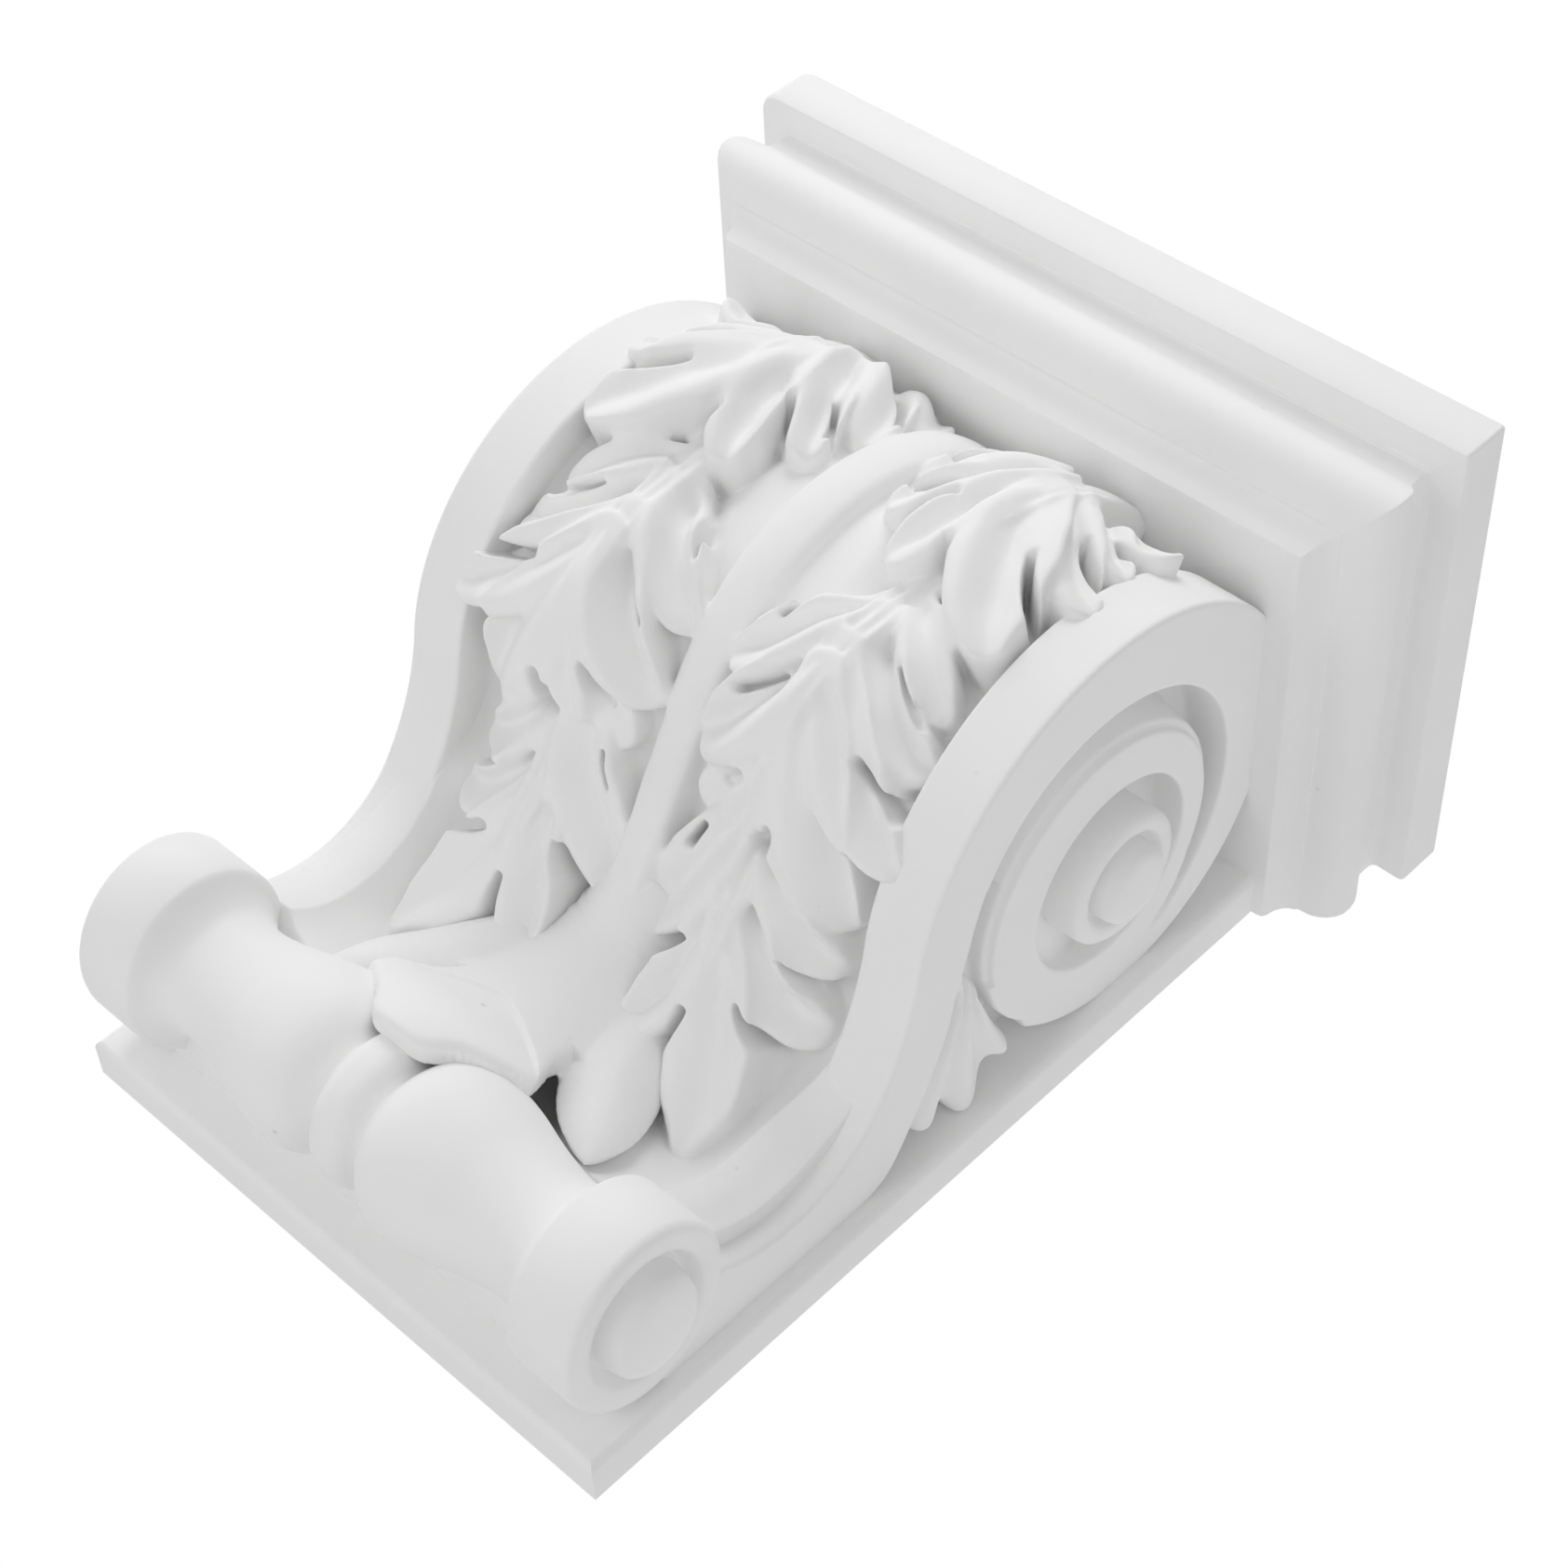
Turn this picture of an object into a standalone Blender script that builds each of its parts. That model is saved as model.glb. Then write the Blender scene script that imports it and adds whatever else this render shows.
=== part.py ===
"""Decorative corbel: a wall bracket cast in one piece.

A moulded crown carries a shelf or a beam. Below it an S-shaped console stands on a back plate. Each
side of the console is a scroll band that coils into a volute, the sunk front holds a rib and two
columns of acanthus leaves, and a baluster roll with a drooping palmette closes it below.

Metres, +Z up. The back of the plate lies in the plane y = 0, against the wall, and the corbel faces -Y.
Inside this file a height is measured from the foot of the plate and a depth d from the wall, so that a
point is (x, -d, height). LIFT moves the finished solid so that its origin is the middle of its back.
"""

import math

import bmesh
import bpy
import numpy as np

# Driving dimensions
PLATE_WIDTH = 0.1500
PLATE_DEPTH = 0.0104
PLATE_EDGE = 0.0012
CROWN_HALF = 0.0937
CROWN_DEPTH = 0.1199
HEIGHT = 0.2371
SLAB_FOOT = 0.2244
SOFFIT = 0.1957
CONSOLE_HALF = 0.0714
PANEL_HALF = 0.0572
WEB_HALF = 0.0600
BAND_WIDTH = 0.0172
PANEL_SINK = 0.0112
OVERLAP = 0.0008
LIFT = -HEIGHT / 2

# The crown's moulding below its slab: how far in from the slab's face, and at which height
CROWN_PROFILE = [
    (0.0000, HEIGHT),
    (0.0000, SLAB_FOOT),
    (0.0075, SLAB_FOOT),
    (0.0078, 0.2187),
    (0.0048, 0.2150),
    (0.0034, 0.2105),
    (0.0048, 0.2062),
    (0.0085, 0.2034),
    (0.0118, 0.2031),
    (0.0132, 0.2018),
    (0.0150, 0.1995),
    (0.0152, 0.1972),
    (0.0165, SOFFIT),
]

# The console's front is three arcs, each tangent to the next: (centre d, centre height, radius) of the
# first, the angles where they start and end, and the radii of the other two. Angles are from +d to +height.
UPPER_CENTRE = (0.0519, 0.1494)
UPPER_RADIUS = 0.0569
MIDDLE_RADIUS = 0.0679
LOWER_RADIUS = 0.0301
UPPER_FROM, UPPER_TO = math.radians(55.4), math.radians(-79.0)
MIDDLE_TO, LOWER_TO = math.radians(126.1), math.radians(214.0)

# The volute on each side: circles in (d, height)
CHANNEL_OUTER = (0.0519, 0.1494, UPPER_RADIUS - BAND_WIDTH)
CHANNEL_INNER = (0.0489, 0.1473, 0.0339)
CHANNEL_FROM, CHANNEL_TO = math.radians(-49), math.radians(130)
CHANNEL_MOUTH = (0.0690, 0.1150)
CHANNEL_FLOOR = 0.0620
VOLUTE_BACK = (0.0549, 0.1554, 0.0452)
EYE_RECESS = (0.0468, 0.1505, 0.0224)
EYE_FLOOR = 0.0625
EYE_RADIUS = 0.0152
EYE_FACE = 0.0750
EYE_BUTTON_RADIUS = 0.0100
EYE_BUTTON_FACE = 0.0785

# The three tips of the small leaf that hangs under each volute: centre (d, height), and its arc in degrees
SIDE_LEAF_TIP = 0.0042
SIDE_LEAF_TIPS = [
    ((0.0490, 0.0985), -20, -175),
    ((0.0345, 0.1065), -40, -190),
    ((0.0240, 0.1165), -60, -230),
]

# The roll at the foot: (half way along x, radius), from the middle ring to the drum's end
ROLL_AXIS = (0.0339, 0.0198)
DRUM_DEPTH_RADIUS = 0.0224
DRUM_HALF = 0.0720
ROLL_PROFILE = [
    (0.0000, 0.0172),
    (0.0030, 0.0166),
    (0.0052, 0.0146),
    (0.0066, 0.0132),
    (0.0088, 0.0154),
    (0.0112, 0.0176),
    (0.0150, 0.0190),
    (0.0200, 0.0191),
    (0.0270, 0.0178),
    (0.0350, 0.0155),
    (0.0440, 0.0138),
    (0.0505, 0.0142),
    (0.0540, 0.0168),
    (0.0556, 0.0194),
    (0.0580, 0.0198),
    (0.0708, 0.0198),
    (DRUM_HALF, 0.0188),
]
BUTTON_RADIUS = 0.0125
BUTTON_FACE = 0.0748

# The sunk front between the scrolls. Heights there are above its floor, and s runs down the front's curve
# from a little below the soffit.
LEAF_START = 0.0027
RIB_HALF = 0.0056
RIB_HEIGHT = 0.0105
RIB_END = 0.168
STEM_HALF = 0.0040
STEMS = [  # (x, s) at both ends, and the height
    ((0.0355, -0.004), (0.0345, 0.052), 0.0115),
    ((0.0285, 0.058), (0.0275, 0.098), 0.0108),
    ((0.0235, 0.116), (0.0260, 0.155), 0.0090),
]

# Each column has three acanthus leaves, one over the next, and each leaf has these lobes:
# (x, s) of the root, (x, s) of the tip, half width, height at the root and height at the tip
LOBES = [
    ((0.0360, 0.006), (0.0575, 0.030), 0.0054, 0.0110, 0.0110),
    ((0.0360, 0.018), (0.0580, 0.049), 0.0070, 0.0110, 0.0112),
    ((0.0350, 0.032), (0.0500, 0.0735), 0.0114, 0.0110, 0.0142),
    ((0.0335, 0.032), (0.0240, 0.069), 0.0096, 0.0110, 0.0172),
    ((0.0335, 0.016), (0.0142, 0.052), 0.0070, 0.0110, 0.0142),
    ((0.0330, 0.004), (0.0105, 0.036), 0.0062, 0.0110, 0.0112),
    ((0.0300, 0.070), (0.0500, 0.080), 0.0058, 0.0100, 0.0090),
    ((0.0290, 0.079), (0.0543, 0.0925), 0.0072, 0.0105, 0.0087),
    ((0.0285, 0.0885), (0.0572, 0.110), 0.0078, 0.0108, 0.0112),
    ((0.0300, 0.096), (0.0457, 0.133), 0.0103, 0.0108, 0.0115),
    ((0.0278, 0.102), (0.0225, 0.125), 0.0054, 0.0108, 0.0115),
    ((0.0263, 0.090), (0.0065, 0.108), 0.0072, 0.0108, 0.0112),
    ((0.0250, 0.075), (0.0070, 0.092), 0.0072, 0.0100, 0.0125),
    ((0.0262, 0.126), (0.0490, 0.140), 0.0050, 0.0085, 0.0080),
    ((0.0262, 0.135), (0.0507, 0.154), 0.0062, 0.0090, 0.0080),
    ((0.0266, 0.147), (0.0420, 0.188), 0.0116, 0.0090, 0.0080),
    ((0.0248, 0.144), (0.0172, 0.178), 0.0082, 0.0090, 0.0095),
    ((0.0232, 0.123), (0.0055, 0.150), 0.0082, 0.0085, 0.0105),
]
LOBE_SECTIONS = [(0.0, 0.40), (0.35, 0.80), (0.70, 1.00), (0.90, 0.72), (1.0, 0.22)]  # (length, width)
LOBE_SCOOP = 0.20
STRIP_FOOT = -0.0026

# The palmette hangs from the foot of the rib over the roll: (d, height) along it, and its half width
PALMETTE_THICK = 0.0036
PALMETTE_PATH = [
    (0.0330, 0.0800, 0.0080),
    (0.0350, 0.0660, 0.0095),
    (0.0385, 0.0540, 0.0118),
    (0.0445, 0.0450, 0.0125),
    (0.0510, 0.0385, 0.0115),
    (0.0555, 0.0310, 0.0080),
    (0.0560, 0.0245, 0.0030),
]
STRAP_SECTION = [(-1, -1.0), (-1, -0.45), (-0.55, 0.0), (0, -0.12), (0.55, 0.0), (1, -0.45), (1, -1.0)]
PALMETTE_SIDES = [  # a smaller lobe each side: its middle across, and how far its tip leans out
    (0.0150, 0.0080),
    (0.0270, 0.0125),
]

ROLL_SIDES = 24


def clear_scene():
    for obj in list(bpy.data.objects):
        bpy.data.objects.remove(obj)


def new_object(name, points, faces):
    """A mesh object with its faces turned outwards."""
    mesh = bpy.data.meshes.new(name)
    mesh.from_pydata([tuple(p) for p in points], [], faces)
    bm = bmesh.new()
    bm.from_mesh(mesh)
    bmesh.ops.recalc_face_normals(bm, faces=bm.faces)
    bmesh.ops.triangulate(bm, faces=[f for f in bm.faces if len(f.verts) > 4])
    bm.to_mesh(mesh)
    bm.free()
    obj = bpy.data.objects.new(name, mesh)
    bpy.context.scene.collection.objects.link(obj)
    return obj


def loft(name, rings):
    """A closed solid through rings of equal length, capped at both ends."""
    count = len(rings[0])
    points = [point for ring in rings for point in ring]
    faces = []
    for row in range(len(rings) - 1):
        for i in range(count):
            j = (i + 1) % count
            a, b = row * count, (row + 1) * count
            faces.append((a + i, a + j, b + j, b + i))
    faces.append(tuple(range(count)))
    last = (len(rings) - 1) * count
    faces.append(tuple(last + i for i in reversed(range(count))))
    return new_object(name, points, faces)


def prism(name, outline, x_from, x_to):
    """An outline in (d, height) drawn out along x."""
    return loft(name, [[(x, -d, z) for d, z in outline] for x in (x_from, x_to)])


def arc(centre, radius, start, end, steps):
    """Points (d, height) along an arc."""
    angles = np.linspace(start, end, steps + 1)
    return np.stack([centre[0] + radius * np.cos(angles), centre[1] + radius * np.sin(angles)], axis=1)


def front_curve(steps):
    """The console's front from the soffit to the roll, as points (d, height)."""
    toward = np.array([math.cos(UPPER_TO), math.sin(UPPER_TO)])
    middle = np.array(UPPER_CENTRE) + (UPPER_RADIUS + MIDDLE_RADIUS) * toward
    toward = np.array([math.cos(MIDDLE_TO), math.sin(MIDDLE_TO)])
    lower = middle + (MIDDLE_RADIUS - LOWER_RADIUS) * toward
    middle_from = UPPER_TO + math.pi
    parts = [
        arc(UPPER_CENTRE, UPPER_RADIUS, UPPER_FROM, UPPER_TO, 3 * steps),
        arc(middle, MIDDLE_RADIUS, middle_from, MIDDLE_TO, steps)[1:],
        arc(lower, LOWER_RADIUS, MIDDLE_TO, LOWER_TO, steps)[1:],
    ]
    return np.concatenate(parts)


def offset_curve(curve, distance):
    """The curve moved inwards, towards the wall side, by a distance."""
    tangent = np.gradient(curve, axis=0)
    tangent /= np.linalg.norm(tangent, axis=1)[:, None]
    inward = np.stack([tangent[:, 1], -tangent[:, 0]], axis=1)
    return curve + inward * distance


def circle(ring, steps=40):
    return arc(ring[:2], ring[2], 0, 2 * math.pi * (1 - 1 / steps), steps - 1)


def crown():
    """The moulding runs round the front and both sides, and the back is one flat face."""
    points, faces = [], []
    for inset, z in CROWN_PROFILE:
        half, depth = CROWN_HALF - inset, CROWN_DEPTH - inset
        points += [(-half, 0, z), (-half, -depth, z), (half, -depth, z), (half, 0, z)]
    last = 4 * (len(CROWN_PROFILE) - 1)
    for row in range(0, last, 4):
        for i in (row, row + 1, row + 2):
            faces.append((i, i + 1, i + 5, i + 4))
    faces += [(0, 1, 2, 3), (last, last + 1, last + 2, last + 3)]
    faces.append(tuple(range(0, last + 1, 4)) + tuple(range(last + 3, 0, -4)))
    return new_object("crown", points, faces)


def back_plate():
    rings = []
    for inset, depth in ((0, 0), (0, PLATE_DEPTH - PLATE_EDGE), (PLATE_EDGE, PLATE_DEPTH)):
        half, low = PLATE_WIDTH / 2 - inset, inset
        top = SOFFIT + 0.006
        rings.append([(-half, -depth, low), (half, -depth, low), (half, -depth, top), (-half, -depth, top)])
    return loft("back_plate", rings)


def console_core():
    """The body behind the leaves, between the two scrolls, down to the roll."""
    front = offset_curve(front_curve(10), PANEL_SINK)
    start = [(PLATE_DEPTH - OVERLAP, SOFFIT + OVERLAP), (front[0][0], SOFFIT + OVERLAP)]
    inside = [point for point in front if PLATE_DEPTH < point[0] and point[1] < SOFFIT]
    end = [(ROLL_AXIS[0], ROLL_AXIS[1] + 0.012), (ROLL_AXIS[0], 0.008), (PLATE_DEPTH - OVERLAP, 0.008)]
    return prism("console_core", start + list(inside) + end, -WEB_HALF, WEB_HALF)


def scroll_outline():
    """One side seen from the side: the band down to the foot, and the volute it coils into."""
    front = front_curve(8)
    mouth = CHANNEL_OUTER[1] - 0.8 * CHANNEL_OUTER[2]
    inside = PLATE_DEPTH - OVERLAP
    rear = [(d, z) for d, z in offset_curve(front, BAND_WIDTH) if d > inside and 0.06 < z < mouth]
    foot = [(front[-1][0], ROLL_AXIS[1] + 0.008), (inside, 0.022), (inside, rear[-1][1])]
    under = arc(CHANNEL_INNER[:2], CHANNEL_INNER[2], math.radians(-58), math.radians(-140), 8)
    back = arc(VOLUTE_BACK[:2], VOLUTE_BACK[2], math.radians(222), math.radians(116), 12)
    top = [(VOLUTE_BACK[0] - 0.016, SOFFIT + OVERLAP), (front[0][0], SOFFIT + OVERLAP)]
    return list(front) + foot + rear[::-1] + list(under) + list(back) + top


def channel_outline():
    """The groove between the volute's first and second turn, closing as it goes round."""
    outer = arc(CHANNEL_OUTER[:2], CHANNEL_OUTER[2], CHANNEL_FROM, CHANNEL_TO, 18)
    inner = arc(CHANNEL_INNER[:2], CHANNEL_INNER[2], CHANNEL_TO, CHANNEL_FROM, 18)
    return [CHANNEL_MOUTH] + list(outer) + list(inner)


def eye(side):
    """The volute's raised eye with its button."""
    centre = EYE_RECESS[:2]
    steps = [
        (EYE_RADIUS, EYE_FLOOR - 0.0012),
        (EYE_RADIUS, EYE_FACE - 0.0015),
        (EYE_RADIUS - 0.0015, EYE_FACE),
        (EYE_BUTTON_RADIUS, EYE_FACE),
        (EYE_BUTTON_RADIUS, EYE_BUTTON_FACE - 0.001),
        (EYE_BUTTON_RADIUS - 0.002, EYE_BUTTON_FACE),
    ]
    rings = []
    for radius, x in steps:
        rings.append([(side * x, -d, z) for d, z in circle((*centre, radius), 24)])
    return loft("eye", rings)


def side_leaf(side):
    """The small leaf that hangs out of the channel under the volute."""
    outline = [(0.0760, 0.1190), (0.0700, 0.1135)]
    for centre, start, end in SIDE_LEAF_TIPS:
        tip = arc(centre, SIDE_LEAF_TIP, math.radians(start), math.radians(end), 6)
        outline += list(tip)
    outline += [(0.0330, 0.1220), (0.0660, 0.1250)]
    return prism("side_leaf", outline, side * (WEB_HALF - 0.001), side * (WEB_HALF + 0.0042))


class Front:
    """The floor of the sunk front, as a surface that takes x, the distance s down the curve and a height."""

    def __init__(self):
        self.curve = front_curve(30)
        steps = np.linalg.norm(np.diff(self.curve, axis=0), axis=1)
        self.s = np.r_[0, np.cumsum(steps)] - LEAF_START
        self.length = self.s[-1]
        self.floor = offset_curve(self.curve, PANEL_SINK)
        tangent = np.gradient(self.curve, self.s, axis=0)
        self.normal = np.stack([-tangent[:, 1], tangent[:, 0]], axis=1)

    def point(self, x, s, height):
        d, z = [np.interp(s, self.s, self.floor[:, k] + height * self.normal[:, k]) for k in (0, 1)]
        return (x, -d, z)


def strip(name, surface, sections):
    """A closed raised strip on the front. A section is its middle (x, s), the way across, a half width,
    the height of its rims and how far the hollow between them sinks."""
    rings = []
    for (x, s), (ux, us), half, height, scoop in sections:
        ring = []
        edge = half * 0.2
        for share, drop in ((-1, None), (-1, edge), (-0.6, 0), (0, scoop), (0.6, 0), (1, edge), (1, None)):
            level = STRIP_FOOT if drop is None else height - drop
            ring.append(surface.point(x + share * half * ux, s + share * half * us, level))
        rings.append(ring)
    return loft(name, rings)


def leaf_lobe(surface, side, lobe):
    (x0, s0), (x1, s1), half, low, high = lobe
    length = math.hypot(x1 - x0, s1 - s0)
    across = (-side * (s1 - s0) / length, (x1 - x0) / length)
    sections = []
    for share, width in LOBE_SECTIONS:
        x, s = x0 + (x1 - x0) * share, s0 + (s1 - s0) * share
        height = low + (high - low) * share ** 2 - (0.0018 if share == 1.0 else 0)
        sections.append(((side * x, s), across, half * width, height, LOBE_SCOOP * half * width))
    return strip("leaf_lobe", surface, sections)


def stem(surface, side, ends):
    (x0, s0), (x1, s1), height = ends
    sections = []
    for share in (0, 0.5, 1):
        s = max(s0 + (s1 - s0) * share, -0.004)
        sections.append(((side * (x0 + (x1 - x0) * share), s), (1, 0), STEM_HALF, height, -0.0006))
    return strip("stem", surface, sections)


def rib(surface):
    sections = [((0, s), (1, 0), RIB_HALF, RIB_HEIGHT, -0.0010) for s in np.linspace(-0.003, RIB_END, 28)]
    return strip("rib", surface, sections)


def roll():
    """The baluster roll: a ring in the middle, a swelling each side, and a drum at each end."""
    stations = [(-x, r) for x, r in reversed(ROLL_PROFILE[1:])] + ROLL_PROFILE
    widest = max(r for _, r in ROLL_PROFILE)
    rings = []
    for x, radius in stations:
        on_drum = min(max((abs(x) - 0.0505) / 0.006, 0), 1)
        depth_radius = radius * (1 + (DRUM_DEPTH_RADIUS / widest - 1) * on_drum)
        ring = []
        for k in range(ROLL_SIDES):
            angle = 2 * math.pi * k / ROLL_SIDES
            y = -ROLL_AXIS[0] + depth_radius * math.cos(angle)
            ring.append((x, y, ROLL_AXIS[1] + radius * math.sin(angle)))
        rings.append(ring)
    return loft("roll", rings)


def drum_button(side):
    rings = []
    steps = [
        (BUTTON_RADIUS, DRUM_HALF - 0.002),
        (BUTTON_RADIUS, BUTTON_FACE - 0.001),
        (BUTTON_RADIUS - 0.0025, BUTTON_FACE),
    ]
    for radius, x in steps:
        rings.append([(side * x, -d, z) for d, z in circle((*ROLL_AXIS, radius), 24)])
    return loft("drum_button", rings)


def strap(name, path, middle, lean, scale):
    """A strap of leaf along a path of (d, height, half width), its underside inside the roll."""
    rings = []
    line = np.array([point[:2] for point in path])
    tangent = np.gradient(line, axis=0)
    tangent /= np.linalg.norm(tangent, axis=1)[:, None]
    for k, (d, z, half) in enumerate(path):
        share = k / (len(path) - 1)
        x = middle + lean * share ** 2
        nd, nz = -tangent[k][1], tangent[k][0]
        ring = []
        for across, lift in STRAP_SECTION:
            lift *= PALMETTE_THICK
            ring.append((x + across * half * scale, -(d + lift * nd), z + lift * nz))
        rings.append(ring)
    return loft(name, rings)


def palmette():
    """The drooping leaf over the middle of the roll."""
    pieces = [strap("palmette_middle", PALMETTE_PATH, 0, 0, 1.0)]
    for middle, lean in PALMETTE_SIDES:
        path = [(d - 0.25 * middle, z + 0.15 * middle, half) for d, z, half in PALMETTE_PATH[1:-1]]
        for side in (-1, 1):
            pieces.append(strap("palmette_side", path, side * middle, side * lean, 0.6))
    return pieces


def combine(target, others, operation="UNION"):
    """Booleans onto the target. The unions use MANIFOLD, because EXACT leaves the eyes' rims open."""
    for index, other in enumerate(others):
        modifier = target.modifiers.new(f"{operation.lower()}_{index}", "BOOLEAN")
        modifier.operation = operation
        modifier.solver = "MANIFOLD" if operation == "UNION" else "EXACT"
        modifier.object = other
        other.hide_render = True
        other.display_type = "WIRE"


def plaster():
    material = bpy.data.materials.new("white_moulding")
    material.use_nodes = True
    shader = material.node_tree.nodes["Principled BSDF"]
    shader.inputs["Base Color"].default_value = (0.86, 0.86, 0.85, 1)
    shader.inputs["Roughness"].default_value = 0.6
    shader.inputs["Metallic"].default_value = 0.0
    material.diffuse_color = (0.86, 0.86, 0.85, 1)
    return material


def build():
    clear_scene()
    corbel = back_plate()
    corbel.name = "corbel"
    surface = Front()
    parts = [crown(), console_core(), rib(surface), roll()] + palmette()
    for side in (-1, 1):
        scroll = prism("scroll", scroll_outline(), side * PANEL_HALF, side * CONSOLE_HALF)
        channel = prism("channel", channel_outline(), side * CHANNEL_FLOOR, side * 0.080)
        recess = prism("recess", circle(EYE_RECESS, 32), side * EYE_FLOOR, side * 0.080)
        combine(scroll, [channel, recess], "DIFFERENCE")
        parts += [scroll, eye(side), side_leaf(side), drum_button(side)]
        parts += [stem(surface, side, ends) for ends in STEMS]
        parts += [leaf_lobe(surface, side, lobe) for lobe in LOBES]
    combine(corbel, parts)
    corbel.data.materials.append(plaster())
    for obj in bpy.data.objects:
        obj.location.z = LIFT


build()
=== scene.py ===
"""Looks of the decorative corbel: a white bracket cast in one piece.

Lengths are in millimetres until a mesh is made; the camera and the lights are placed in metres. A height
z is measured from the foot of the back plate and a depth d from the wall, so that a point is (x, -d, z).
LIFT puts the origin where the CAD has it, in the middle of the back. Flat and turned members are lofted
through rings. Carved members are fields of signed distance on a fine grid, whose zero surface becomes the
mesh.
"""

import math

import bmesh
import bpy
import numpy as np
import openvdb as vdb
from mathutils import Matrix, Vector


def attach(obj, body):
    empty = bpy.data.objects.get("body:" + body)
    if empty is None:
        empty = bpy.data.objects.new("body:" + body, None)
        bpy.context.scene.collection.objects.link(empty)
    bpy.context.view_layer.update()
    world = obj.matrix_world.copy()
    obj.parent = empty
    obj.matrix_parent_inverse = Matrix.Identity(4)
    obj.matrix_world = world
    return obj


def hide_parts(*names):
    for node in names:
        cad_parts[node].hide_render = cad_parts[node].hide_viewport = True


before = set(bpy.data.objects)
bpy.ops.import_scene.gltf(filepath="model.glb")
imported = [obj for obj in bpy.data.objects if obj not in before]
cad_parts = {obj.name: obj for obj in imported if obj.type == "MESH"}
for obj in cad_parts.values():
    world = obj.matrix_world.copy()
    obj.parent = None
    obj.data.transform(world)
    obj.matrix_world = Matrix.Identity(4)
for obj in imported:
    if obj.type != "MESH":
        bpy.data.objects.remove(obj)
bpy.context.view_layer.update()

MM = 0.001
HEIGHT = 237.1
LIFT = -HEIGHT / 2
PLATE_HALF = 75.0
PLATE_DEPTH = 10.4
CROWN_HALF = 93.7
CROWN_DEPTH = 119.9
SOFFIT = 195.7
# The bands down the console's sides, and the core between them, by their distance from the middle
BAND_FACE = 71.4
BAND_INNER = 57.2
CORE_HALF = 60.0
# Where the solids under the front begin: this far above its upper end, inside the crown
FRONT_LEAD = -4.0

# The console's front as (centre d, centre z, radius, from, to, sign). The angles are in degrees, and the
# sign is 1 where the front bulges and -1 where it is hollow.
ARCS = [
    (51.9, 149.4, 56.9, 52.7, -79.05, 1),
    (75.6, 26.9, 67.9, 100.95, 126.1, -1),
    (53.3, 57.5, 30.1, 126.1, 214.3, -1),
]

VOXEL = 0.42
# The distance that stands for empty space in a field
FAR = 6.0
EVERYWHERE = (slice(None),) * 3


# ---------------------------------------------------------------- fields

def smin(a, b, k):
    """The lower of two fields, with a round of about k where they meet."""
    gap = np.maximum(k - np.abs(a - b), 0) / k
    return np.minimum(a, b) - gap * gap * (k / 4)


def smax(a, b, k):
    """The higher of two fields, rounded likewise."""
    return -smin(-a, -b, k)


def step_between(low, high, value):
    """0 up to low, 1 from high on, and smooth between."""
    t = np.clip((value - low) / (high - low), 0, 1)
    return t * t * (3 - 2 * t)


class Grid:
    """Signed distances on a box of points; they are negative inside the solid."""

    def __init__(self, low, high, step):
        self.low, self.step = np.array(low, float), step
        self.count = np.ceil((np.array(high, float) - self.low) / step).astype(int) + 1
        self.axes = [self.low[k] + step * np.arange(self.count[k]) for k in range(3)]
        self.field = np.full(self.count, FAR, np.float32)

    def window(self, low, high):
        """Index ranges of the part of the box between two corners."""
        spans = []
        for k in range(3):
            first = max(int((low[k] - self.low[k]) / self.step), 0)
            last = min(int((high[k] - self.low[k]) / self.step) + 2, self.count[k])
            spans.append(slice(first, max(last, first)))
        return tuple(spans)

    def coordinates(self, spans):
        x, y, z = [axis[span].astype(np.float32) for axis, span in zip(self.axes, spans)]
        return x[:, None, None], y[None, :, None], z[None, None, :]

    def add(self, spans, values, k):
        self.field[spans] = smin(self.field[spans], values, k)

    def cut(self, spans, values, k):
        self.field[spans] = smax(self.field[spans], -values, k)

    def surface(self):
        """Points in the grid's own coordinates, and faces of four and of three corners."""
        # the outermost points count as empty, so that the surface is closed there
        field = self.field
        for axis in range(3):
            edge = [slice(None)] * 3
            for end in (0, -1):
                edge[axis] = end
                field[tuple(edge)] = np.maximum(field[tuple(edge)], 0.5 * self.step)
        grid = vdb.FloatGrid(FAR)
        grid.copyFromArray(field)
        points, tris, quads = grid.convertToPolygons(isovalue=0.0, adaptivity=0.0)
        return points * self.step + self.low, quads, tris


def mesh_of(name, points, quads, tris=()):
    """A mesh from arrays; points are in millimetres as (x, d, z)."""
    points = np.asarray(points, float)
    world = np.stack([points[:, 0], -points[:, 1], points[:, 2] + LIFT], axis=1) * MM
    quads, tris = np.asarray(quads, np.int32).reshape(-1, 4), np.asarray(tris, np.int32).reshape(-1, 3)
    mesh = bpy.data.meshes.new(name)
    mesh.vertices.add(len(world))
    mesh.vertices.foreach_set("co", world.astype(np.float32).ravel())
    mesh.loops.add(quads.size + tris.size)
    mesh.loops.foreach_set("vertex_index", np.concatenate([quads.ravel(), tris.ravel()]))
    starts = np.concatenate([4 * np.arange(len(quads)), quads.size + 3 * np.arange(len(tris))])
    mesh.polygons.add(len(starts))
    mesh.polygons.foreach_set("loop_start", starts.astype(np.int32))
    mesh.update(calc_edges=True)
    mesh.validate()
    return mesh


def outward(mesh):
    """Turns the mesh's faces outwards, judging by the sign of its volume."""
    bm = bmesh.new()
    bm.from_mesh(mesh)
    if bm.calc_volume(signed=True) < 0:
        bmesh.ops.reverse_faces(bm, faces=bm.faces)
        bm.to_mesh(mesh)
    bm.free()


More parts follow.
